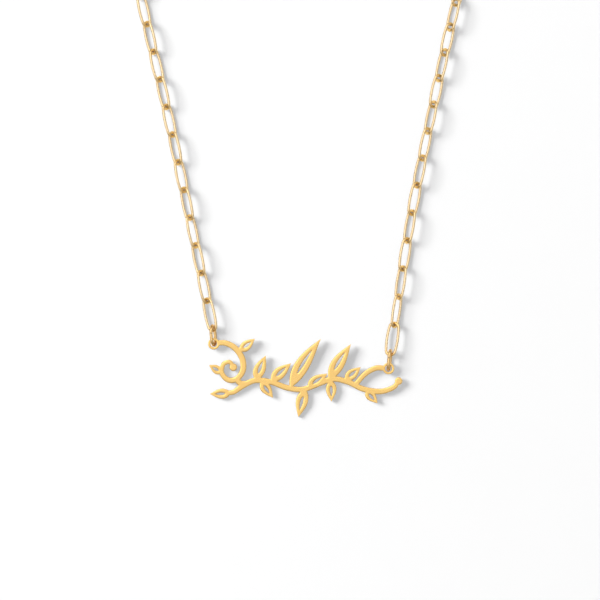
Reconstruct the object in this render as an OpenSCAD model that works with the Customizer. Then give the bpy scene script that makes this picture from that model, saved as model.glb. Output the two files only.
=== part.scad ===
// Nameplate necklace, lying flat with its chain laid out in one loop.
// X runs to the right, Y from the nameplate towards the clasp, Z up.
// The origin is in the middle of the necklace, on the surface it lies on.

/* [Nameplate] */
// Overall width of the plate, from the left eye to the tip of the tail
plate_w = 38.8; // [34:0.2:44]
// Height of the plate, from its lowest leaf to its highest
plate_h = 15.9; // [14:0.1:18]
// Thickness of the plate
plate_t = 0.9; // [0.8:0.05:1]
// Width of the stems
stem_w = 1.1; // [0.9:0.05:1.3]
// Widest part of the slit along the middle of a leaf
vein_w = 0.56; // [0.4:0.02:0.7]
// Diameter of the knobs that end the stems
knob_d = 1.5; // [1.3:0.05:1.8]
// Outside diameter of an eye
eye_d = 2.3; // [2.2:0.05:2.5]
// Diameter of the hole in an eye
eye_hole_d = 1.4; // [1.4:0.05:1.6]

/* [Chain] */
// Wire of a link
link_wire = 0.56; // [0.5:0.01:0.58]
// Overall length of a link
link_l = 6.98; // [6:0.02:8]
// Overall width of a link
link_w = 2.85; // [2.8:0.01:3]
// Angle that each long side of a link bends through, to each side of its middle
link_bend = 9; // [7:1:12]
// Gap between the wires of two links drawn out to the full
link_gap = 0.14; // [0.12:0.01:0.2]

/* [Jump rings] */
// Wire of a jump ring
ring_wire = 0.65; // [0.6:0.01:0.67]
// Overall length of a jump ring
ring_l = 4.45; // [4.2:0.05:5]
// Overall width of a jump ring, which stands on its edge
ring_w = 2.9; // [2.85:0.05:3.1]
// Angle that each long side of a jump ring bends through, to each side of its middle
ring_bend = 8; // [6:1:10]
// Play between a jump ring and the link that hangs in it
ring_play = 0.45; // [0.4:0.01:0.5]
// How far a jump ring reaches past the middle of the hole that it passes through
ring_seat = 0.2; // [0.1:0.01:0.22]

/* [Clasp] */
// Outside diameter of the clasp's ring
clasp_d = 6.5; // [6:0.1:8]
// Wire of the clasp's ring
clasp_wire = 1.1; // [1:0.05:1.15]
// Outside diameter of the clasp's tag
tag_d = 2.7; // [2.6:0.05:3]
// Diameter of the hole in the tag
tag_hole_d = 1.5; // [1.4:0.05:1.5]
// Thickness of the tag
tag_t = 0.8; // [0.6:0.05:0.9]
// Diameter of the clasp's thumb knob
thumb_d = 0.8; // [0.6:0.05:1]
// How far the thumb knob stands out of the clasp's ring
thumb_out = 0.7; // [0.4:0.05:1]

/* [Lay of the chain] */
// Largest share of its pitch that the right side of the chain is pushed together by
slack_right = 0.11; // [0:0.01:0.15]
// Number of links over which the chain goes from drawn out to slack
slack_links = 12; // [8:1:20]
// Lean of the left ring, where 90 stands upright
ring_lean_left = 71; // [70:1:90]
// Lean of the right ring, where 90 stands upright
ring_lean_right = 80; // [70:1:90]
// Lean of the two rings at the clasp
ring_lean_back = 68; // [66:1:75]
// Angle that the rings at the clasp hang down by from the line across
ring_drop = 16; // [14:1:20]
// Gap between a ring's lower wire and the plate or clasp that rests on it
ring_rest = 0.14; // [0.12:0.01:0.18]
// How far the end of a chain is lifted by the ring it hangs in
end_lift = 0.25; // [0.2:0.01:0.3]

/* [Hidden] */

// Places on the nameplate are shares of its width and height, from its lower left corner.
// The eyes stand at the left edge and near the right end.
eye_left_rise = 0.921;
eye_right_place = 0.93;
eye_right_rise = 0.611;

// Stems: place across, place up, width as a share of stem_w
scroll = [
    [0.041, 0.930, 0.90],
    [0.090, 0.930, 1.00],
    [0.140, 0.865, 1.05],
    [0.176, 0.735, 1.08],
    [0.179, 0.585, 1.08],
    [0.145, 0.475, 1.00],
    [0.100, 0.470, 0.95],
    [0.070, 0.560, 0.90],
    [0.080, 0.665, 0.80],
    [0.112, 0.690, 0.75],
    [0.130, 0.625, 0.70],
];
vine = [
    [0.105, 0.300, 0.80],
    [0.135, 0.318, 0.90],
    [0.180, 0.392, 1.00],
    [0.242, 0.459, 1.00],
    [0.325, 0.440, 1.00],
    [0.402, 0.371, 1.00],
    [0.485, 0.346, 1.00],
    [0.567, 0.415, 1.00],
    [0.644, 0.478, 1.00],
    [0.722, 0.440, 1.00],
    [0.799, 0.352, 1.00],
    [0.887, 0.321, 1.00],
    [0.954, 0.371, 0.90],
    [0.982, 0.453, 0.80],
];
joining_stem = [
    [0.145, 0.475, 1.00],
    [0.170, 0.420, 1.00],
    [0.205, 0.424, 0.90],
];
branch = [
    [0.758, 0.403, 0.90],
    [0.809, 0.541, 0.92],
    [0.866, 0.616, 0.95],
    [0.918, 0.610, 0.90],
];

// Leaves: place across, place up, direction in degrees, then length, width and
// curl to the left of that direction, as shares of the plate's height
leaves = [
    [0.247, 0.453, 76, 0.340, 0.150, -0.041],
    [0.325, 0.440, 50, 0.340, 0.150, -0.041],
    [0.423, 0.365, 66, 0.720, 0.185, -0.100],
    [0.513, 0.358, 44, 0.308, 0.145, -0.037],
    [0.624, 0.459, 66, 0.528, 0.170, -0.063],
    [0.706, 0.453, 48, 0.260, 0.130, -0.029],
    [0.505, 0.352, -112, 0.365, 0.155, 0.043],
    [0.273, 0.459, -62, 0.262, 0.130, 0.030],
    [0.629, 0.465, -80, 0.270, 0.136, -0.032],
    [0.814, 0.340, -55, 0.220, 0.120, 0.024],
    [0.118, 0.305, 190, 0.262, 0.130, -0.030],
    [0.158, 0.835, 30, 0.250, 0.126, 0.028],
    [0.075, 0.560, 158, 0.190, 0.108, -0.022],
];
leaf_fullness = 0.8;
vein_start = 0.28;
vein_end = 0.76;
leaf_steps = 16;
stem_steps = 8;

// Route of each side of the chain, in millimetres from the middle between the two eyes.
// Each starts at its jump ring and ends at the clasp.
route_left = [
    [-22.2, 27.3], [-26.5, 47.7], [-31.1, 67.5], [-36.1, 90.0],
    [-40.6, 112.0], [-42.4, 131.0], [-38.4, 152.0], [-27.5, 168.0],
];
route_right = [
    [21.8, 26.8], [26.0, 48.2], [30.2, 67.5], [35.6, 90.0],
    [40.8, 113.0], [43.2, 133.0], [39.0, 153.5], [28.0, 168.8],
];
clasp_y = 176.8;
route_steps = 12;

// Lean of the links off the flat, from the ring on; the last two repeat
link_lean_left = [35, 44, 43, 49, 44, 43];
link_lean_right = [22, 52, 51, 38, 50, 38, 47, 43, 51, 38];

// Direction of the front rings, from the eye up along the chain
ring_heading_left = 94;
ring_heading_right = 84;

// The long sides of an oval are a hair thinner than its ends and reach into them
side_thinning = 0.01;
side_lap = 0.04;
wire_sides = 14;
arc_sides = 36;
most_links = 60;

// Centre line of an oval of two end arcs and two long side arcs
function oval_offset(run_l, run_w, bend) = (run_l - run_w) / (2 * (cos(bend) + sin(bend) - 1));

// Front rings
ring_run_l = ring_l - ring_wire;
ring_run_w = ring_w - ring_wire;
function ring_z(lean) = ring_run_w / 2 * sin(lean) + ring_wire / 2;
// Half the distance between the centres of a ring's wire and of the wire that hangs in it
ring_joint = ((ring_wire + link_wire) / 2 + ring_play) / 2;
// From the middle of a hole to the joint between the ring in it and the chain
ring_reach = ring_run_l - ring_seat - ring_joint;

// Places of the eyes, from the middle between them
eye_left_at = [eye_d / 2, eye_left_rise * plate_h];
eye_right_at = [eye_right_place * plate_w, eye_right_rise * plate_h];
plate_middle = (eye_left_at + eye_right_at) / 2;
eye_left = eye_left_at - plate_middle;
eye_right = eye_right_at - plate_middle;
eye_line = atan2(eye_right.y - eye_left.y, eye_right.x - eye_left.x);

// The plate rests on its rings at the eyes, and its lowest leaf touches the ground
plate_z = ring_wire + ring_rest + plate_t / 2;
function below_eye_line(p) = (p.x - plate_middle.x) * sin(eye_line) - (p.y - plate_middle.y) * cos(eye_line);
plate_reach = max([for (leaf = leaves) for (p = leaf_blade(leaf)) below_eye_line(p)]);
plate_tilt = asin((plate_z - plate_t / 2) / plate_reach);

// Clasp
clasp_run_r = (clasp_d - clasp_wire) / 2;
clasp_z = ring_wire + ring_rest + clasp_wire / 2;
clasp_hole_clearance = 0.05;
thumb_angle = -55;
tag_place = clasp_d / 2 + tag_hole_d / 2 + clasp_hole_clearance;
clasp_ring_place = clasp_run_r - clasp_wire / 2 - ring_wire / 2 - ring_play;
clasp_reach = clasp_ring_place + ring_run_l - ring_joint;
// The joints at both ends of the clasp and its rings are the same distance from the middle
clasp_x = (tag_place + (ring_reach - clasp_reach) * cos(ring_drop)) / 2;
clasp_at = [clasp_x, clasp_y];
tag_hole_at = clasp_at - [tag_place, 0];

// Joints at both ends of each side of the chain
function heading(angle) = [cos(angle), sin(angle)];
start_left = eye_left + ring_reach * heading(ring_heading_left);
start_right = eye_right + ring_reach * heading(ring_heading_right);
end_left = tag_hole_at + ring_reach * heading(180 + ring_drop);
end_right = clasp_at + clasp_reach * heading(-ring_drop);

// A smooth curve through a list of points
function curve_point(a, b, c, d, t) =
    0.5 * (2 * b + (c - a) * t + (2 * a - 5 * b + 4 * c - d) * t * t + (3 * b - a - 3 * c + d) * t * t * t);
function curve(points, steps) =
    let (all = concat([2 * points[0] - points[1]], points, [2 * points[len(points) - 1] - points[len(points) - 2]]))
    concat([for (i = [1 : len(points) - 1]) for (k = [0 : steps - 1])
        curve_point(all[i - 1], all[i], all[i + 1], all[i + 2], k / steps)],
        [points[len(points) - 1]]);
function direction(path, i) =
    let (step = path[min(i + 1, len(path) - 1)] - path[max(i - 1, 0)]) atan2(step.y, step.x);

// Distance along a path up to each of its points
function distances(path) =
    [for (i = 0, far = 0; i < len(path);
        far = far + (i + 1 < len(path) ? norm(path[i + 1] - path[i]) : 0), i = i + 1) far];
function point_along(path, far, distance) = [
    lookup(distance, [for (i = [0 : len(path) - 1]) [far[i], path[i].x]]),
    lookup(distance, [for (i = [0 : len(path) - 1]) [far[i], path[i].y]]),
];

// Joints of one side of the chain: its links fill the route, and the slack grows with the square of the count
link_pitch = link_l - 2 * link_wire - link_gap;
function stretch(k, slack) = 1 - slack * pow(min(1, k / slack_links), 2);
function stretches(slack) = [for (k = 0, sum = 0; k <= most_links; sum = sum + stretch(k, slack), k = k + 1) sum];
function joints(route, slack) =
    let (path = curve(route, route_steps), far = distances(path), whole = far[len(far) - 1],
        sums = stretches(slack), count = len([for (s = sums) if (s < whole / link_pitch) s]))
    [for (k = [0 : count]) point_along(path, far, whole * sums[k] / sums[count])];
joints_left = joints(concat([start_left], route_left, [end_left]), 0);
joints_right = joints(concat([start_right], route_right, [end_right]), slack_right);

// Lean of link k: every other link leans the other way
function lean(k, list) =
    (k % 2 == 0 ? -1 : 1) * list[k < len(list) ? k : len(list) - 2 + (k - len(list)) % 2];
function end_side(joints) = len(joints) % 2 == 0 ? -1 : 1;
function chain_z(list) = (link_w - link_wire) / 2 * sin(max(list)) + link_wire / 2;

gold = [0.93, 0.74, 0.40];
pale_gold = [0.96, 0.80, 0.48];

// Part of a round wire bent to a radius, in the XY plane
module wire_arc(wire, radius, start, sweep)
    rotate([0, 0, start])
        rotate_extrude(angle = sweep, $fn = arc_sides)
            translate([radius, 0])
                circle(d = wire, $fn = wire_sides);

// A closed oval of wire, long in X
module oval(wire, length, width, bend) {
    run_l = length - wire;
    run_w = width - wire;
    offset = oval_offset(run_l, run_w, bend);
    end_r = run_l / 2 - offset * sin(bend);
    side_r = run_w / 2 + offset * cos(bend);
    lap = side_lap / side_r * 180 / PI;
    for (turn = [0, 180]) rotate([0, 0, turn]) {
        translate([offset * sin(bend), 0])
            wire_arc(wire, end_r, bend - 90, 180 - 2 * bend);
        translate([0, -offset * cos(bend)])
            wire_arc(wire - side_thinning, side_r, 90 - bend - lap, 2 * (bend + lap));
    }
}

module link() oval(link_wire, link_l, link_w, link_bend);
module jump_ring() oval(ring_wire, ring_l, ring_w, ring_bend);

// Sets a piece that is long in X at a place, along a direction and rolled about its length
module lay(at, z, angle, roll, climb = 0)
    translate([at.x, at.y, z]) rotate([0, 0, angle]) rotate([0, -climb, 0]) rotate([roll, 0, 0]) children();

module chain(joints, leans) {
    last = len(joints) - 1;
    function joint_z(k) = chain_z(leans) + (k == 0 || k == last ? end_lift : 0);
    for (k = [0 : last - 1]) {
        step = joints[k + 1] - joints[k];
        lay((joints[k] + joints[k + 1]) / 2, (joint_z(k) + joint_z(k + 1)) / 2, atan2(step.y, step.x),
            lean(k, leans), atan2(joint_z(k + 1) - joint_z(k), norm(step)))
            link();
    }
}

// A ring that passes through a hole and holds the chain's first link
module ring_from(hole, angle, roll, z)
    lay(hole + (ring_run_l / 2 - ring_seat) * heading(angle), z, angle, roll) jump_ring();

// Outline of a leaf of a width, from one share of the leaf's length to another
function leaf_points(leaf, width, from = 0, to = 1) =
    let (angle = leaf[2], length = leaf[3] * plate_h, curl = leaf[5] * plate_h,
        base = [leaf[0] * plate_w, leaf[1] * plate_h], start = from * length, finish = to * length)
    [for (i = [0 : 2 * leaf_steps - 1])
        let (side = i < leaf_steps ? 1 : -1, u = (side > 0 ? i : 2 * leaf_steps - i) / leaf_steps,
            along = start + (finish - start) * u,
            across = side * width / 2 * sin(180 * pow(u, leaf_fullness))
                + curl * pow(along / length, 2))
        base + along * heading(angle) + across * heading(angle + 90)];
function leaf_blade(leaf) = leaf_points(leaf, leaf[4] * plate_h);

// A stem as a band of changing width along a smooth curve
module stem(rows) {
    path = curve([for (row = rows) [row[0] * plate_w, row[1] * plate_h, row[2] * stem_w]], stem_steps);
    function edge(i, side) =
        [path[i].x, path[i].y] + side * path[i].z / 2 * heading(direction(path, i) + 90);
    polygon(concat([for (i = [0 : len(path) - 1]) edge(i, 1)],
        [for (i = [len(path) - 1 : -1 : 0]) edge(i, -1)]));
}

module plate_outline() {
    difference() {
        union() {
            for (rows = [scroll, vine, joining_stem, branch]) stem(rows);
            for (leaf = leaves) polygon(leaf_blade(leaf));
        }
        for (leaf = leaves) polygon(leaf_points(leaf, vein_w, vein_start, vein_end));
    }
}

// A round through the plate, at a place from its lower left corner
module round(at, d, h) translate([at.x, at.y, (plate_t - h) / 2]) cylinder(d = d, h = h, $fn = 32);

module plate_body()
    difference() {
        union() {
            linear_extrude(plate_t) plate_outline();
            for (end = [scroll[len(scroll) - 1], vine[len(vine) - 1]])
                round([end[0] * plate_w, end[1] * plate_h], knob_d, plate_t);
            for (eye = [eye_left_at, eye_right_at]) round(eye, eye_d, plate_t);
        }
        for (eye = [eye_left_at, eye_right_at]) round(eye, eye_hole_d, 2 * plate_t);
    }

module nameplate()
    color(pale_gold)
        translate([0, 0, plate_z])
            rotate(a = plate_tilt, v = [cos(eye_line), sin(eye_line), 0])
                translate([-plate_middle.x, -plate_middle.y, -plate_t / 2])
                    plate_body();

module ring_left()
    color(gold) ring_from(eye_left, ring_heading_left, ring_lean_left, ring_z(ring_lean_left));

module ring_right()
    color(gold) ring_from(eye_right, ring_heading_right, ring_lean_right, ring_z(ring_lean_right));

module chain_left() color(gold) chain(joints_left, link_lean_left);

module chain_right() color(gold) chain(joints_right, link_lean_right);

// The rings at the clasp lean away from the link that hangs in them
module ring_back_left()
    color(gold)
        ring_from(tag_hole_at, 180 + ring_drop, end_side(joints_left) * ring_lean_back, ring_z(ring_lean_back));

module ring_back_right()
    color(gold)
        lay(clasp_at + (clasp_ring_place + ring_run_l / 2) * heading(-ring_drop), ring_z(ring_lean_back),
            -ring_drop, end_side(joints_right) * ring_lean_back)
            jump_ring();

// A spring ring with a flat tag and a thumb knob, all in one piece
module clasp()
    color(gold)
        translate([clasp_at.x, clasp_at.y, clasp_z]) {
            rotate_extrude($fn = arc_sides)
                translate([clasp_run_r, 0])
                    circle(d = clasp_wire, $fn = wire_sides);
            difference() {
                translate([-tag_place, 0]) cylinder(d = tag_d, h = tag_t, center = true, $fn = 32);
                translate([-tag_place, 0]) cylinder(d = tag_hole_d, h = 2 * tag_t, center = true, $fn = 32);
                cylinder(r = clasp_run_r, h = 2 * tag_t, center = true, $fn = 64);
            }
            rotate([0, 0, thumb_angle])
                translate([clasp_run_r, 0])
                    rotate([0, 90, 0]) cylinder(d = thumb_d, h = clasp_wire / 2 + thumb_out, $fn = 24);
        }

// The middle of the necklace, from the middle between the eyes
plate_bottom = min([for (leaf = leaves) for (p = leaf_blade(leaf)) p.y]) - plate_middle.y;
centre = [
    (min([for (p = joints_left) p.x]) + max([for (p = joints_right) p.x])) / 2,
    (plate_bottom + clasp_y + clasp_d / 2) / 2,
];
module place() translate([-centre.x, -centre.y, 0]) children();

place() nameplate();
place() ring_left();
place() ring_right();
place() chain_left();
place() chain_right();
place() ring_back_left();
place() clasp();
place() ring_back_right();
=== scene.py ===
"""A nameplate necklace lying on a white table, seen from straight above.

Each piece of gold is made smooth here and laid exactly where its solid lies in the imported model.
Lengths in the tables are millimetres; everything in the scene is metres.
"""
from math import atan2, cos, degrees, exp, hypot, pi, radians, sin

import bmesh
import bpy
import numpy as np
from mathutils import Matrix, Vector
from mathutils.kdtree import KDTree


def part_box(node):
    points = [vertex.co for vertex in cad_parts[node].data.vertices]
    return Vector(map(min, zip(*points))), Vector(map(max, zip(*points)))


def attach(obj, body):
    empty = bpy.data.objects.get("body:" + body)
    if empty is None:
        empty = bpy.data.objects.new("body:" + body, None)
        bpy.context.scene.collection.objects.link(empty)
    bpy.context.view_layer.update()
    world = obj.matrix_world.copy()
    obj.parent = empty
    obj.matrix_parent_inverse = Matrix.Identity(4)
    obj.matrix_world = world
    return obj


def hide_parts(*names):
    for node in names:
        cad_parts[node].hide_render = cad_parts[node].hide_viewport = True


MM = 0.001
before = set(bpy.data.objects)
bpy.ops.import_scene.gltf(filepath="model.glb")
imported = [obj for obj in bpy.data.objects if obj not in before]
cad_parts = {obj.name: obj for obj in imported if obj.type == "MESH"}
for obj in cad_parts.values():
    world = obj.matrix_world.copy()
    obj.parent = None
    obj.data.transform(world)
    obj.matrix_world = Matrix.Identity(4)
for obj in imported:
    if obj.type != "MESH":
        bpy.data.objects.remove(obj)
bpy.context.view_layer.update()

# Ovals of wire: its thickness, the oval's length and width, the bend of its long sides in degrees
OVALS = {
    "link": dict(wire=0.56, length=6.98, width=2.85, bend=9.0),
    "ring": dict(wire=0.65, length=4.45, width=2.9, bend=8.0),
}
ARC_POINTS = 200
LINK_STEPS = 84
RING_STEPS = 96
WIRE_SIDES = 16
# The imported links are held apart; hung together, real ones are this much closer at each joint
LINK_CLOSING = 0.08
# The wire is pressed fuller inside the bend of a link's end: by this share of its radius at most,
# by this share of the room to the next link, and this far along the wire
LINK_BEND = dict(most=0.6, room_share=0.46, reach=0.5)
# Soldered seam of a link: its place along the wire, how much it swells and how far it runs
SEAM = dict(place=0.2, swell=0.035, length=0.22)
# Cut of a jump ring: its place along the wire and its width
RING_CUT = dict(place=0.2, width=0.035)
# Seams and cuts lie alike because each oval is drawn with its X this way, up the chain
UP_THE_CHAIN = Vector((0.3, 1, 0))

# The clasp's ring, tag and thumb knob; the knob's end is domed by a share of its radius
CLASP = dict(outside=6.5, wire=1.1, tag=2.7, tag_hole=1.5, tag_thick=0.8, tag_gap=0.05,
             knob=0.8, knob_out=0.7, knob_dome=0.6, knob_angle=-55.0, soft_edge=0.14)

# The plate: its edges are softly polished, over a width soft_edge and down by soft_drop in edge_rows.
# Its outlines are drawn in steps of spacing, smooth where they turn by less than corner degrees
PLATE = dict(thick=0.9, soft_edge=0.36, soft_drop=0.11, edge_rows=6, spacing=0.14, corner=24.0)
# Where the metal is narrow, the soft edge takes the largest of these shares of its width that fits.
# The room is measured to outlines drawn in finer steps, and a little less than asked is enough.
# At a sharp corner a step inward gains depth slowly, but is never taken to gain less than least_gain
EDGE_FIT = dict(shares=(1.0, 0.85, 0.7, 0.55, 0.4, 0.28, 0.18, 0.1, 0.05), spacing=0.03,
                enough=0.93, slack=0.004, least_gain=0.3)
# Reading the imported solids: corners are one where they agree to so many decimals of a metre or, on
# the plate's face, of a millimetre; that face looks upward, and its triangles all look one way
SAME = dict(corner=7, spot=3, upward=0.5, one_way=0.9999)

# The photograph: its pixels, the millimetres of a pixel at the height of the chain, its middle,
# and the camera's lens, sensor and nearest sight
PHOTO = dict(size=600, scale=0.2, height=1.0, middle=(-0.62, -72.7),
             lens=180.0, sensor=36.0, nearest=10.0)

# The white room, as heights and brightness: bright overhead and darker towards the horizon
ROOM = [(0.0, 0.10), (0.5, 0.16), (0.85, 0.35), (0.94, 0.95), (1.0, 1.01)]
# Soft boxes: name, degrees round the nameplate and up, then metres away, wide and high,
# the brightness, and what it is for, the table or the gold
SOFT_BOXES = [
    ("key", 157, 37, 2.5, 1.15, 1.15, 13.8, "table"),
    ("strip_left", 180, 64, 1.6, 1.6, 0.7, 0.92, "table"),
    ("strip_right", 0, 64, 1.6, 1.6, 0.7, 0.92, "table"),
    ("card_left", 155, 57, 1.6, 2.2, 1.2, 1.38, "gold"),
    ("card_back", 85, 42, 1.6, 2.2, 1.2, 0.8, "gold"),
    ("card_right", 0, 42, 1.6, 2.2, 1.2, 0.45, "gold"),
    ("card_front", 270, 42, 1.6, 2.2, 1.2, 0.25, "gold"),
]


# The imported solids

def solids_of(node):
    """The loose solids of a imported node, each as an array of its triangles' corners in metres."""
    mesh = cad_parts[node].data
    corners = np.array([v.co for v in mesh.vertices])
    _, same = np.unique(np.round(corners, SAME["corner"]), axis=0, return_inverse=True)
    same = same.ravel()
    parent = list(range(same.max() + 1))

    def root(k):
        while parent[k] != k:
            parent[k] = parent[parent[k]]
            k = parent[k]
        return k

    faces = np.array([p.vertices[:] for p in mesh.polygons])
    for a, b, c in same[faces]:
        top = root(a)
        parent[root(b)] = top
        parent[root(c)] = top
    owner = np.array([root(k) for k in same[faces[:, 0]]])
    _, firsts = np.unique(owner, return_index=True)
    return [corners[faces[owner == owner[first]]] for first in sorted(firsts)]


def facings(triangles):
    """The way that each triangle faces, as long as twice its area, and that length."""
    ways = np.cross(triangles[:, 1] - triangles[:, 0], triangles[:, 2] - triangles[:, 0])
    return ways, np.linalg.norm(ways, axis=1)


def place_of(triangles):
    """Where an oval of wire lies: a matrix with X along it, Y across it and Z square to it."""
    _, weight = facings(triangles)
    middles = triangles.mean(axis=1)
    centre = (weight[:, None] * middles).sum(axis=0) / weight.sum()
    spread = np.zeros((3, 3))
    for corner in range(3):
        arm = (triangles[:, corner] + middles) / 2 - centre
        spread += (weight[:, None, None] * arm[:, :, None] * arm[:, None, :]).sum(axis=0)
    _, axes = np.linalg.eigh(spread)
    along, across = Vector(axes[:, 2]), Vector(axes[:, 1])
    if along.dot(UP_THE_CHAIN) < 0:
        along = -along
    square = along.cross(across).normalized()
    if square.z < 0:
        square, across = -square, -across
    place = Matrix((along, across, square)).transposed().to_4x4()
    place.translation = Vector(centre)
    return place


def new_piece(name, builder, node, gold):
    """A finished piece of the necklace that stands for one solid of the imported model."""
    mesh = bpy.data.meshes.new(name)
    builder.to_mesh(mesh)
    builder.free()
    mesh.materials.append(gold)
    piece = bpy.data.objects.new(name, mesh)
    bpy.context.scene.collection.objects.link(piece)
    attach(piece, "root")
    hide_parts(node)
    # The white table takes no yellow tint from the gold, as under a polarised light
    piece.visible_diffuse = False


# The chain and the jump rings

def oval_outline(wire, length, width, bend, steps):
    """Evenly spaced points on the middle line of an oval of wire, from the middle of one end.

    It is two end arcs and two long side arcs, given by centre, radius and first and last angle.
    The points come with how far along the line each is, and with its whole length.
    """
    run_l, run_w, turn = length - wire, width - wire, radians(bend)
    offset = (run_l - run_w) / (2 * (cos(turn) + sin(turn) - 1))
    end_x, end_r = offset * sin(turn), run_l / 2 - offset * sin(turn)
    side_y, side_r = offset * cos(turn), run_w / 2 + offset * cos(turn)
    arcs = [
        (end_x, 0, end_r, 0, pi / 2 - turn),
        (0, -side_y, side_r, pi / 2 - turn, pi / 2 + turn),
        (-end_x, 0, end_r, pi / 2 + turn, 1.5 * pi - turn),
        (0, side_y, side_r, 1.5 * pi - turn, 1.5 * pi + turn),
        (end_x, 0, end_r, 1.5 * pi + turn, 2 * pi),
    ]
    fine = np.array([
        (x + r * cos(a), y + r * sin(a))
        for x, y, r, start, end in arcs
        for a in np.linspace(start, end, ARC_POINTS, endpoint=False)
    ])
    fine = np.vstack([fine, fine[:1]])
    far = np.concatenate([[0], np.cumsum(np.hypot(*np.diff(fine, axis=0).T))])
    at = np.linspace(0, far[-1], steps, endpoint=False)
    points = np.column_stack([np.interp(at, far, fine[:, k]) for k in (0, 1)])
    return points, at, far[-1]


def sweep_wire(builder, points, place, radii, fuller=None, sides=WIRE_SIDES, gap_at=None):
    """Draws a round wire round a closed line in the XY plane of a placing matrix.

    radii gives the wire's radius at each step, and fuller the share by which it is deeper towards
    the inside of the line; gap_at names the step whose stretch is left open.
    """
    count = len(points)
    fuller = fuller or [0] * count
    steps_along = np.roll(points, -1, axis=0) - np.roll(points, 1, axis=0)
    steps_along /= np.hypot(*steps_along.T)[:, None]
    uv = builder.loops.layers.uv.verify()
    rings = []
    for k in range(count):
        outward = Vector((steps_along[k][1], -steps_along[k][0], 0))
        middle = Vector((points[k][0], points[k][1], 0))
        ring = []
        for j in range(sides):
            turn = 2 * pi * j / sides
            out = cos(turn) * (1 + fuller[k] * (cos(turn) < 0))
            rim = middle + radii[k] * (out * outward + sin(turn) * Vector((0, 0, 1)))
            ring.append(builder.verts.new(place @ (rim * MM)))
        rings.append(ring)
    for k in range(count):
        here, there = rings[k], rings[(k + 1) % count]
        if k == gap_at:
            builder.faces.new(reversed(here))
            builder.faces.new(there)
            continue
        for j in range(sides):
            n = (j + 1) % sides
            face = builder.faces.new((here[j], here[n], there[n], there[j]))
            face.smooth = True
            corners = (k, j), (k, j + 1), (k + 1, j + 1), (k + 1, j)
            for loop, (along, around) in zip(face.loops, corners):
                loop[uv].uv = (along / count, around / sides)


def bend_fullness(tips, number, at, whole):
    """How much fuller a link's wire is at each step, inside the bends at its two tips."""
    wire = OVALS["link"]["wire"]
    others = [tip for k, pair in enumerate(tips) if k != number for tip in pair]
    fuller = np.zeros(len(at))
    for tip, middle in zip(tips[number], (0, whole / 2)):
        room = min((tip - other).length for other in others) / MM - wire
        share = min(LINK_BEND["most"], LINK_BEND["room_share"] * room / (wire / 2))
        away = np.minimum(abs(at - middle), whole - abs(at - middle))
        fuller += share * np.exp(-(away / LINK_BEND["reach"]) ** 2)
    return fuller.tolist()


def chain_mesh(node):
    """A chain: every link drawn where its solid lies, each with its soldered seam on one long side."""
    builder = bmesh.new()
    form = dict(OVALS["link"])
    form["length"] += LINK_CLOSING
    points, at, whole = oval_outline(steps=LINK_STEPS, **form)
    seam = whole * SEAM["place"]
    swell = [1 + SEAM["swell"] * exp(-((s - seam) / SEAM["length"]) ** 2) for s in at]
    radii = [form["wire"] / 2 * share for share in swell]
    places = [place_of(solid) for solid in solids_of(node)]
    tip = points[0][0] * MM
    tips = [[place @ Vector((x, 0, 0)) for x in (tip, -tip)] for place in places]
    for number, place in enumerate(places):
        sweep_wire(builder, points, place, radii, bend_fullness(tips, number, at, whole))
    return builder


def ring_mesh(node):
    """A jump ring: an oval of wire whose two ends meet at a hairline cut."""
    builder = bmesh.new()
    form = OVALS["ring"]
    points, _, _ = oval_outline(steps=RING_STEPS, **form)
    cut = int(RING_STEPS * RING_CUT["place"])
    middle = (points[cut] + points[cut + 1]) / 2
    for k, side in ((cut, -1), (cut + 1, 1)):
        away = points[cut + 1] - points[cut]
        points[k] = middle + side * away / np.hypot(*away) * RING_CUT["width"] / 2
    place = place_of(solids_of(node)[0])
    sweep_wire(builder, points, place, [form["wire"] / 2] * RING_STEPS, gap_at=cut)
    return builder


# The nameplate

def plate_top(node):
    """The plate's placing matrix, at the middle of its thickness, and its upper face's outlines."""
    triangles = solids_of(node)[0]
    ways, lengths = facings(triangles)
    facing = ways / lengths[:, None]
    widest = facing[np.argmax(np.where(facing[:, 2] > SAME["upward"], lengths, 0))]
    flat = triangles[facing @ widest > SAME["one_way"]]
    up = Vector(widest)
    along = (Vector((1, 0, 0)) - up.x * up).normalized()
    place = Matrix((along, up.cross(along), up)).transposed().to_4x4()
    place.translation = Vector(flat.reshape(-1, 3).mean(axis=0))
    outlines = outlines_of([[place.inverted() @ Vector(p) / MM for p in t] for t in flat])
    place.translation -= up * PLATE["thick"] * MM / 2
    return place, outlines


def outlines_of(triangles):
    """The outlines of a flat sheet of triangles, with the metal on their left."""
    corner_of, spots, edges = {}, [], set()
    for triangle in triangles:
        ids = []
        for p in triangle:
            key = (round(p.x, SAME["spot"]), round(p.y, SAME["spot"]))
            if key not in corner_of:
                corner_of[key] = len(spots)
                spots.append((p.x, p.y))
            ids.append(corner_of[key])
        edges.update((ids[k], ids[(k + 1) % 3]) for k in range(3))
    following = {a: b for a, b in sorted(edges) if (b, a) not in edges}
    outlines = []
    while following:
        first, here = next(iter(following.items()))
        del following[first]
        loop = [first]
        while here != first:
            loop.append(here)
            here = following.pop(here)
        outlines.append(np.array([spots[k] for k in loop]))
    return outlines


def turn_at(points, k):
    """How far a closed line turns at one of its points, in degrees, with left turns positive."""
    before = points[k] - points[k - 1]
    after = points[(k + 1) % len(points)] - points[k]
    return degrees(atan2(before[0] * after[1] - before[1] * after[0], before @ after))


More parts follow.
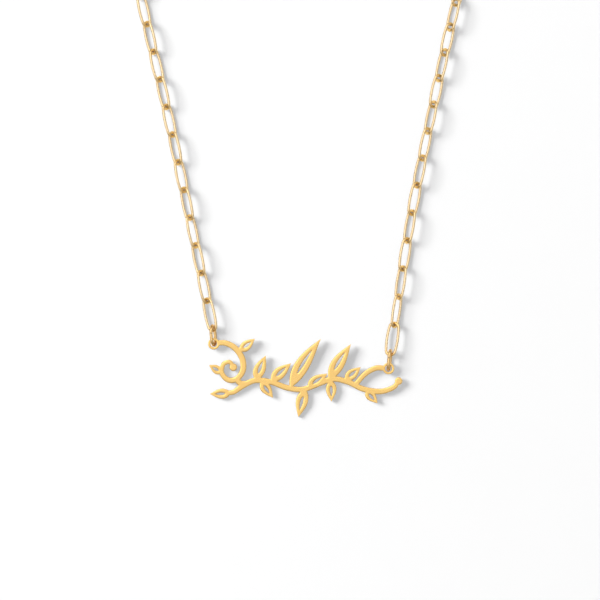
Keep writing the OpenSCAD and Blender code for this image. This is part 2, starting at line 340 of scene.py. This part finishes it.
def rounded(points, spacing, corner):
    """A closed outline drawn again as smooth curves between its sharp corners."""
    count = len(points)
    sharp = [k for k in range(count) if abs(turn_at(points, k)) > corner]
    out = []
    for k in range(count):
        a, b, c, d = (points[(k + i) % count] for i in (-1, 0, 1, 2))
        if k in sharp:
            a = 2 * b - c
        if (k + 1) % count in sharp:
            d = 2 * c - b
        far = hypot(*(c - b))
        slope_b = (c - a) / max(far + hypot(*(b - a)), 1e-9) * far
        slope_c = (d - b) / max(hypot(*(d - c)) + far, 1e-9) * far
        parts = max(1, round(far / spacing))
        for i in range(parts):
            t = i / parts
            out.append(b * (2 * t**3 - 3 * t**2 + 1) + slope_b * (t**3 - 2 * t**2 + t)
                       + c * (3 * t**2 - 2 * t**3) + slope_c * (t**3 - t**2))
    return np.array(out)


def inward(points):
    """The way into the metal at each point of an outline, and how fast a step that way gains depth."""
    ways, gains = [], []
    for k in range(len(points)):
        before = points[k] - points[k - 1]
        after = points[(k + 1) % len(points)] - points[k]
        sides = [np.array((-v[1], v[0])) / hypot(*v) for v in (before, after)]
        way = sides[0] + sides[1]
        way /= max(hypot(*way), 1e-6)
        gain = max(EDGE_FIT["least_gain"], float(way @ sides[0]))
        ways.append(way)
        gains.append(gain if turn_at(points, k) > 0 else 1.0)
    return np.array(ways), np.array(gains)


def steady(shares, reach=3):
    """Shares along a closed line made to change slowly, and never larger than they were."""
    near = range(-reach, reach + 1)
    least = np.min([np.roll(shares, k) for k in near], axis=0)
    return np.mean([np.roll(least, k) for k in near], axis=0)


def fitting_share(tree, spot, way, gain):
    """The largest share of the soft edge's width that fits at a point of an outline."""
    for share in EDGE_FIT["shares"]:
        depth = share * PLATE["soft_edge"]
        x, y = spot + depth / gain * way
        clear = tree.find((x, y, 0))[2]
        if clear > EDGE_FIT["enough"] * depth - EDGE_FIT["slack"]:
            break
    return share


def soft_edges(outlines):
    """At each point of the outlines: the way into the metal, the soft edge's step and its share."""
    dense = np.concatenate([rounded(points, EDGE_FIT["spacing"], corner=180.0) for points in outlines])
    tree = KDTree(len(dense))
    for number, (x, y) in enumerate(dense):
        tree.insert((x, y, 0), number)
    tree.balance()
    found = []
    for points in outlines:
        ways, gains = inward(points)
        shares = [fitting_share(tree, *at) for at in zip(points, ways, gains)]
        shares = steady(np.array(shares))
        found.append((ways, shares * PLATE["soft_edge"] / gains, shares))
    return found


def plate_mesh(node):
    """The cut plate: flat faces, upright walls and softly rounded edges between them."""
    place, outlines = plate_top(node)
    outlines = [rounded(points, PLATE["spacing"], PLATE["corner"]) for points in outlines]
    half, drop, rows = PLATE["thick"] / 2, PLATE["soft_drop"], PLATE["edge_rows"]
    builder = bmesh.new()
    caps = {1: [], -1: []}
    for points, (ways, steps, shares) in zip(outlines, soft_edges(outlines)):
        levels = []
        for face in (1, -1):
            for row in range(rows + 1):
                turn = radians(90 * row / rows)
                ring = []
                for spot, way, step, share in zip(points, ways, steps, shares):
                    x, y = spot + (1 - sin(turn)) * step * way
                    z = half - (1 - cos(turn)) * share * drop
                    ring.append(builder.verts.new(place @ (Vector((x, y, face * z)) * MM)))
                levels.append(ring)
        levels = levels[: rows + 1] + levels[: rows : -1]
        for upper, lower in zip(levels, levels[1:]):
            for k in range(len(upper)):
                n = (k + 1) % len(upper)
                builder.faces.new((upper[k], lower[k], lower[n], upper[n])).smooth = True
        for face, ring in ((1, levels[0]), (-1, levels[-1])):
            caps[face] += [builder.edges.get(pair) for pair in zip(ring, ring[1:] + ring[:1])]
    for face, edges in caps.items():
        up = place.to_3x3() @ Vector((0, 0, face))
        bmesh.ops.triangle_fill(builder, use_beauty=True, use_dissolve=False, edges=edges, normal=up)
    bmesh.ops.recalc_face_normals(builder, faces=builder.faces)
    return builder


# The clasp

def round_ring(builder, centre, radius, wire, steps=120, sides=28):
    """A round ring of wire lying flat."""
    turns = np.linspace(0, 2 * pi, steps, endpoint=False)
    points = radius * np.column_stack([np.cos(turns), np.sin(turns)])
    sweep_wire(builder, points, Matrix.Translation(centre * MM), [wire / 2] * steps, sides=sides)


def turned(builder, profile, place, steps=72):
    """Turns a closed profile of radius and height about the Z axis of a placing matrix."""
    rings = []
    for k in range(steps):
        turn = 2 * pi * k / steps
        points = [Vector((r * cos(turn), r * sin(turn), z)) for r, z in profile]
        rings.append([builder.verts.new(place @ (point * MM)) for point in points])
    for k in range(steps):
        here, there = rings[k], rings[(k + 1) % steps]
        for j in range(len(profile)):
            n = (j + 1) % len(profile)
            builder.faces.new((here[j], there[j], there[n], here[n])).smooth = True
    bmesh.ops.remove_doubles(builder, verts=sum(rings, []), dist=1e-8)


def soft_washer(inside, outside, thick, edge, rows=4):
    """The profile of a flat washer with rounded edges, as points of radius and height."""
    corners = [(outside - edge, thick / 2 - edge, 0), (inside + edge, thick / 2 - edge, 90),
               (inside + edge, edge - thick / 2, 180), (outside - edge, edge - thick / 2, 270)]
    return [
        (r + edge * cos(radians(start + 90 * k / rows)), z + edge * sin(radians(start + 90 * k / rows)))
        for r, z, start in corners
        for k in range(rows + 1)
    ]


def domed_pin(radius, bottom, top, dome):
    """The profile of a round pin along Z with a domed end, as points of radius and height."""
    bulge = [(radius * cos(radians(a)), top - dome + dome * sin(radians(a))) for a in range(0, 90, 15)]
    return [(radius, bottom)] + bulge + [(0, top), (0, bottom)]


def clasp_mesh(node):
    """The spring ring with its tag and thumb knob, one plain piece."""
    low, high = (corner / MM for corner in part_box(node))
    size = CLASP
    outside = size["outside"] / 2
    centre = Vector((high.x - outside, high.y - outside, (low.z + high.z) / 2))
    run = (size["outside"] - size["wire"]) / 2
    builder = bmesh.new()
    round_ring(builder, centre, run, size["wire"])
    tag_at = centre - Vector((outside + size["tag_hole"] / 2 + size["tag_gap"], 0, 0))
    washer = soft_washer(size["tag_hole"] / 2, size["tag"] / 2, size["tag_thick"], size["soft_edge"])
    turned(builder, washer, Matrix.Translation(tag_at * MM))
    lean = Matrix.Rotation(radians(size["knob_angle"]), 4, "Z") @ Matrix.Rotation(pi / 2, 4, "Y")
    top, radius = run + size["wire"] / 2 + size["knob_out"], size["knob"] / 2
    knob = domed_pin(radius, run, top, size["knob_dome"] * radius)
    turned(builder, knob, Matrix.Translation(centre * MM) @ lean, steps=32)
    bmesh.ops.recalc_face_normals(builder, faces=builder.faces)
    return builder


# Finishes

class Value:
    """One output of a node; arithmetic on it adds the Math nodes."""

    def __init__(self, graph, output):
        self.graph, self.output = graph, output

    def math(self, operation, first, second):
        return self.graph.add("ShaderNodeMath", {"operation": operation}, {0: first, 1: second})

    def __add__(self, other):
        return self.math("ADD", self, other)

    def __radd__(self, other):
        return self.math("ADD", other, self)

    def __sub__(self, other):
        return self.math("SUBTRACT", self, other)

    def __rsub__(self, other):
        return self.math("SUBTRACT", other, self)

    def __mul__(self, other):
        return self.math("MULTIPLY", self, other)

    def __rmul__(self, other):
        return self.math("MULTIPLY", other, self)

    def __pow__(self, other):
        return self.math("POWER", self, other)


class Graph:
    """The nodes of a finish or of the room; add() puts in one node and returns one of its outputs."""

    def __init__(self, owner):
        owner.use_nodes = True
        self.owner, self.tree = owner, owner.node_tree
        self.tree.nodes.clear()

    def add(self, kind, settings=None, inputs=None, output=0):
        node = self.tree.nodes.new(kind)
        for name, value in (settings or {}).items():
            if name == "stops":
                ramp = node.color_ramp
                while len(ramp.elements) < len(value):
                    ramp.elements.new(0.5)
                for stop, (at, colour) in zip(ramp.elements, value):
                    stop.position, stop.color = at, colour
            else:
                setattr(node, name, value)
        for name, value in (inputs or {}).items():
            if isinstance(value, Value):
                self.tree.links.new(value.output, node.inputs[name])
            else:
                node.inputs[name].default_value = value
        return Value(self, node.outputs[output]) if node.outputs else None

    def wave(self, value, turns):
        """A cosine wave between 0 and 1, of the given number of turns while the value goes to 1."""
        angle = 2 * pi * turns * value
        return 0.5 + 0.5 * self.add("ShaderNodeMath", {"operation": "COSINE"}, {0: angle})

    def mix(self, factor, first, second):
        """Blends two colours."""
        inputs = {0: factor, 6: first, 7: second}
        return self.add("ShaderNodeMix", {"data_type": "RGBA"}, inputs, output=2)

    def noise(self, where, scale, detail):
        inputs = {"Vector": where, "Scale": scale, "Detail": detail}
        return self.add("ShaderNodeTexNoise", {}, inputs)

    def stretched(self, where, x, y, z):
        return self.add("ShaderNodeVectorMath", {"operation": "MULTIPLY"}, {0: where, 1: (x, y, z)})

    def part(self, vector, axis):
        return self.add("ShaderNodeSeparateXYZ", {}, {0: vector}, output=axis)

    def bump(self, height, distance, strength=1.0, under=None):
        inputs = {"Strength": strength, "Distance": distance, "Height": height}
        if under:
            inputs["Normal"] = under
        return self.add("ShaderNodeBump", {}, inputs)

    def surface(self, sockets):
        """Ends a finish in one shader with the given sockets, and returns the finish."""
        shader = self.add("ShaderNodeBsdfPrincipled", {}, sockets)
        self.add("ShaderNodeOutputMaterial", {}, {"Surface": shader})
        return self.owner


def finish(name):
    return Graph(bpy.data.materials.new(name))


def rgb(*colour):
    return (*colour, 1)


PLATE_GOLD = rgb(0.965, 0.645, 0.230)
PLATE_GOLD_DEEP = rgb(0.940, 0.590, 0.190)
WIRE_GOLD = rgb(0.935, 0.735, 0.485)
WIRE_GOLD_DEEP = rgb(0.960, 0.643, 0.215)
RING_GOLD = rgb(0.900, 0.620, 0.290)
RING_GOLD_DEEP = rgb(0.820, 0.480, 0.150)
# Painted shade: the brown laid on the inner side of a wire's ends, where the links meet
PAINTED_JOINT_SHADE = rgb(0.200, 0.085, 0.015)
CARD_WHITE = rgb(0.915, 0.915, 0.915)
CARD_WHITE_BRIGHT = rgb(0.925, 0.925, 0.925)


def polished_plate():
    """Sheet gold: an even satin polish, with faint hollows and fine strokes of the buff along it."""
    f = finish("polished_plate")
    where = f.add("ShaderNodeTexCoord", output="Object")
    hollows = f.noise(where, scale=110.0, detail=1.0)
    strokes = f.noise(f.stretched(where, 900, 14000, 9000), scale=1.0, detail=3.0)
    clouds = f.noise(where, scale=260.0, detail=3.0)
    specks = f.noise(where, scale=9000.0, detail=2.0)
    waves = f.bump(hollows, 0.12 * MM)
    return f.surface({
        "Base Color": f.mix(clouds * 0.7 + strokes * 0.2, PLATE_GOLD, PLATE_GOLD_DEEP),
        "Metallic": 1.0,
        "Roughness": 0.2 + clouds * 0.1 + strokes * 0.05,
        "Normal": f.bump(strokes * 0.7 + specks * 0.3, 0.02 * MM, strength=0.1, under=waves),
    })


def drawn_wire(name, light, deep):
    """Drawn wire with faint lines, and painted shade where links meet: deeper gold at an oval's ends,
    and brown inside them.
    """
    f = finish(name)
    where = f.add("ShaderNodeTexCoord", output="Object")
    along = f.add("ShaderNodeTexCoord", output="UV")
    lines = f.noise(f.stretched(along, 14, 60, 1), scale=1.0, detail=2.0)
    clouds = f.noise(where, scale=700.0, detail=2.0)
    # Painted shade at the joints: ends darkens the wire towards an oval's ends, and inside keeps the
    # brown to their inner side
    ends = f.wave(f.part(along, "X"), turns=2)
    inside = 1 - f.wave(f.part(along, "Y"), turns=1)
    gold = f.mix(clouds * 0.3 + lines * 0.1 + ends**4 * 0.7, light, deep)
    return f.surface({
        "Base Color": f.mix(ends**8 * inside**4 * 0.8, gold, PAINTED_JOINT_SHADE),
        "Metallic": 1.0,
        "Roughness": 0.21 + clouds * 0.08 + lines * 0.05,
        "Normal": f.bump(lines, 0.02 * MM, strength=0.08),
    })


def table_white():
    """Smooth white card with a faint grain."""
    f = finish("table_white")
    grain = f.noise(f.add("ShaderNodeTexCoord", output="Object"), scale=90.0, detail=3.0)
    return f.surface({
        "Base Color": f.mix(grain, CARD_WHITE, CARD_WHITE_BRIGHT),
        "Roughness": 0.9,
        "Specular IOR Level": 0.1,
    })


# The room

def table():
    """The white table, far wider than the view."""
    builder = bmesh.new()
    bmesh.ops.create_grid(builder, x_segments=8, y_segments=8, size=3.0)
    mesh = bpy.data.meshes.new("table")
    builder.to_mesh(mesh)
    builder.free()
    mesh.materials.append(table_white())
    top = bpy.data.objects.new("table", mesh)
    bpy.context.scene.collection.objects.link(top)


def room_light():
    """The light of the white room, which changes with height alone."""
    room = Graph(bpy.data.worlds.new("room"))
    height = room.part(room.add("ShaderNodeTexCoord", output="Generated"), "Z")
    stops = [(at, rgb(level, level, level)) for at, level in ROOM]
    glow = room.add("ShaderNodeValToRGB", {"stops": stops}, {0: height})
    shader = room.add("ShaderNodeBackground", {}, {"Color": glow})
    room.add("ShaderNodeOutputWorld", {}, {"Surface": shader})
    bpy.context.scene.world = room.owner


def soft_box(name, azimuth, elevation, distance, width, height, brightness, lights):
    """A soft box turned towards the nameplate: it lights the table, or it shows in the gold."""
    lamp = bpy.data.lights.new(name, "AREA")
    lamp.shape, lamp.size, lamp.size_y = "RECTANGLE", width, height
    lamp.energy = brightness * pi * width * height
    light = bpy.data.objects.new(name, lamp)
    light.visible_glossy, light.visible_diffuse = lights == "gold", lights == "table"
    bpy.context.scene.collection.objects.link(light)
    a, e = radians(azimuth), radians(elevation)
    way = Vector((cos(e) * cos(a), cos(e) * sin(a), sin(e)))
    light.location = Vector((*PHOTO["middle"], 0)) * MM + way * distance
    light.rotation_euler = way.to_track_quat("Z", "Y").to_euler()


def camera():
    """The photograph's view: straight down on the nameplate."""
    lens = bpy.data.cameras.new("camera")
    lens.lens, lens.sensor_width = PHOTO["lens"], PHOTO["sensor"]
    lens.clip_start = PHOTO["nearest"] * MM
    view = bpy.data.objects.new("camera", lens)
    bpy.context.scene.collection.objects.link(view)
    width = PHOTO["size"] * PHOTO["scale"]
    distance = width * PHOTO["lens"] / PHOTO["sensor"] + PHOTO["height"]
    view.location = Vector((*PHOTO["middle"], distance)) * MM
    bpy.context.scene.camera = view


camera()
table()
room_light()
for box in SOFT_BOXES:
    soft_box(*box)
bpy.context.scene.view_settings.view_transform = "Standard"


# The necklace

sheet_gold = polished_plate()
wire_gold = drawn_wire("link_wire", WIRE_GOLD, WIRE_GOLD_DEEP)
ring_gold = drawn_wire("ring_wire", RING_GOLD, RING_GOLD_DEEP)
for node in ("chain_left", "chain_right"):
    new_piece(node + "_links", chain_mesh(node), node, wire_gold)
for node in ("ring_left", "ring_right", "ring_back_left", "ring_back_right"):
    new_piece(node + "_wire", ring_mesh(node), node, ring_gold)
new_piece("clasp_ring", clasp_mesh("clasp"), "clasp", wire_gold)
new_piece("nameplate_sheet", plate_mesh("nameplate"), "nameplate", sheet_gold)
